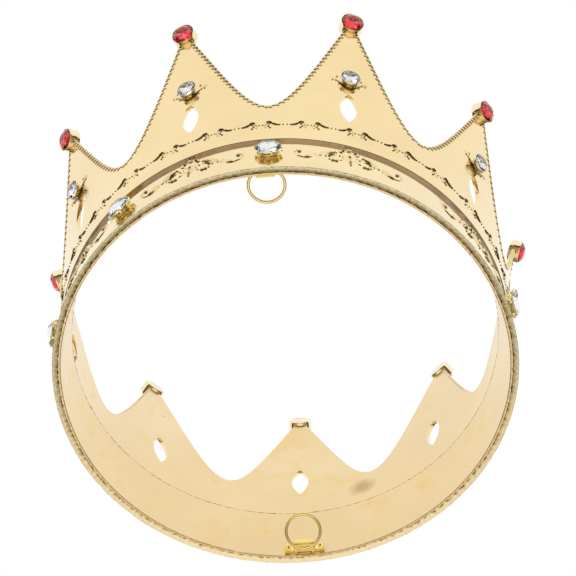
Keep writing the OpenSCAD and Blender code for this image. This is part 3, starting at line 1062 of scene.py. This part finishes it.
# ---------------------------------------------------------------- surroundings
def studio():
    """White as the camera sees it. Reflections see white above, black at the horizon, and below it a warm dim
    room that brightens to white straight down."""
    world = bpy.data.worlds.new("studio")
    bpy.context.scene.world = world
    world.use_nodes = True
    tree = world.node_tree
    tree.nodes.clear()
    coords = tree.nodes.new("ShaderNodeTexCoord")
    split = tree.nodes.new("ShaderNodeSeparateXYZ")
    rise = tree.nodes.new("ShaderNodeMapRange")
    rise.inputs["From Min"].default_value = -1
    ramp = tree.nodes.new("ShaderNodeValToRGB")
    stops = [(0.0, (1.0, 0.98, 0.94)), (0.05, (0.98, 0.95, 0.90)), (0.09, (0.86, 0.81, 0.73)),
             (0.13, (0.62, 0.56, 0.46)), (0.20, (0.46, 0.40, 0.31)), (0.30, (0.34, 0.29, 0.21)),
             (0.41, (0.22, 0.18, 0.12)), (0.45, (0.015, 0.011, 0.007)), (0.53, (0.010, 0.007, 0.004)),
             (0.57, (0.85, 0.83, 0.79)), (0.63, (1.0, 1.0, 1.0))]
    set_stops(ramp, stops)
    rays = tree.nodes.new("ShaderNodeLightPath")
    seen = tree.nodes.new("ShaderNodeBackground")
    seen.inputs["Color"].default_value = (1, 1, 1, 1)
    around_it = tree.nodes.new("ShaderNodeBackground")
    mix = tree.nodes.new("ShaderNodeMixShader")
    out = tree.nodes.new("ShaderNodeOutputWorld")
    tree.links.new(coords.outputs["Generated"], split.inputs["Vector"])
    tree.links.new(split.outputs["Z"], rise.inputs["Value"])
    tree.links.new(rise.outputs["Result"], ramp.inputs["Fac"])
    tree.links.new(ramp.outputs["Color"], around_it.inputs["Color"])
    tree.links.new(rays.outputs["Is Camera Ray"], mix.inputs["Fac"])
    tree.links.new(around_it.outputs["Background"], mix.inputs[1])
    tree.links.new(seen.outputs["Background"], mix.inputs[2])
    tree.links.new(mix.outputs["Shader"], out.inputs["Surface"])


def floor():
    """A pale floor that is see-through from below, where the main camera stands."""
    bm = bmesh.new()
    bmesh.ops.create_grid(bm, x_segments=8, y_segments=8, size=2.0)
    mesh = bpy.data.meshes.new("floor")
    bm.to_mesh(mesh)
    bm.free()
    plane = show("floor", mesh)
    plane.location.z = -0.05 * MM
    material = bpy.data.materials.new("pale_floor")
    material.use_nodes = True
    tree = material.node_tree
    shader = tree.nodes["Principled BSDF"]
    shader.inputs["Base Color"].default_value = (0.86, 0.86, 0.85, 1)
    shader.inputs["Roughness"].default_value = 0.6
    side = tree.nodes.new("ShaderNodeNewGeometry")
    clear = tree.nodes.new("ShaderNodeBsdfTransparent")
    mix = tree.nodes.new("ShaderNodeMixShader")
    tree.links.new(side.outputs["Backfacing"], mix.inputs["Fac"])
    tree.links.new(shader.outputs["BSDF"], mix.inputs[1])
    tree.links.new(clear.outputs["BSDF"], mix.inputs[2])
    tree.links.new(mix.outputs["Shader"], tree.nodes["Material Output"].inputs["Surface"])
    mesh.materials.append(material)
    plane.visible_glossy = False
    plane.visible_transmission = False


def area_light(name, place, size, power):
    """A square light that faces the crown and isn't mirrored in it."""
    data = bpy.data.lights.new(name, "AREA")
    data.size = size
    data.energy = power
    light = show(name, data)
    light.location = place
    light.rotation_euler = (Vector((0, 0, 0.05)) - Vector(place)).to_track_quat("-Z", "Y").to_euler()
    light.visible_glossy = False


studio()
floor()
area_light("key", (-0.6, -0.5, 1.2), 0.5, 4)
bpy.context.scene.view_settings.view_transform = "Standard"


# ---------------------------------------------------------------- camera
# Millimetres and metres for the lens and the distance, degrees for the angles, and metres for the two offsets
LENS = 163.9
DISTANCE = 0.870
ELEVATION, TURN, ROLL = 59.609, -3.535, -0.627
ASIDE, BELOW = -0.000785, -0.028621


def camera():
    """Below and in front of the crown, looking up through the rim."""
    e, roll = math.radians(ELEVATION), math.radians(ROLL)
    ahead = Vector((0, math.cos(e), math.sin(e)))
    up = Vector((0, -math.sin(e), math.cos(e)))
    right = Vector((1, 0, 0))
    right, up = right * math.cos(roll) + up * math.sin(roll), up * math.cos(roll) - right * math.sin(roll)
    spin = Matrix.Rotation(math.radians(-TURN), 3, "Z")
    right, up, ahead = spin @ right, spin @ up, spin @ ahead
    data = bpy.data.cameras.new("camera")
    data.lens = LENS
    data.sensor_width = 36
    data.clip_start, data.clip_end = 0.05, 20
    cam = show("camera", data)
    where = right * -ASIDE + up * -BELOW - ahead * DISTANCE
    turn = Matrix((right, up, -ahead)).transposed().to_4x4()
    cam.matrix_world = Matrix.Translation(where) @ turn
    bpy.context.scene.camera = cam


camera()
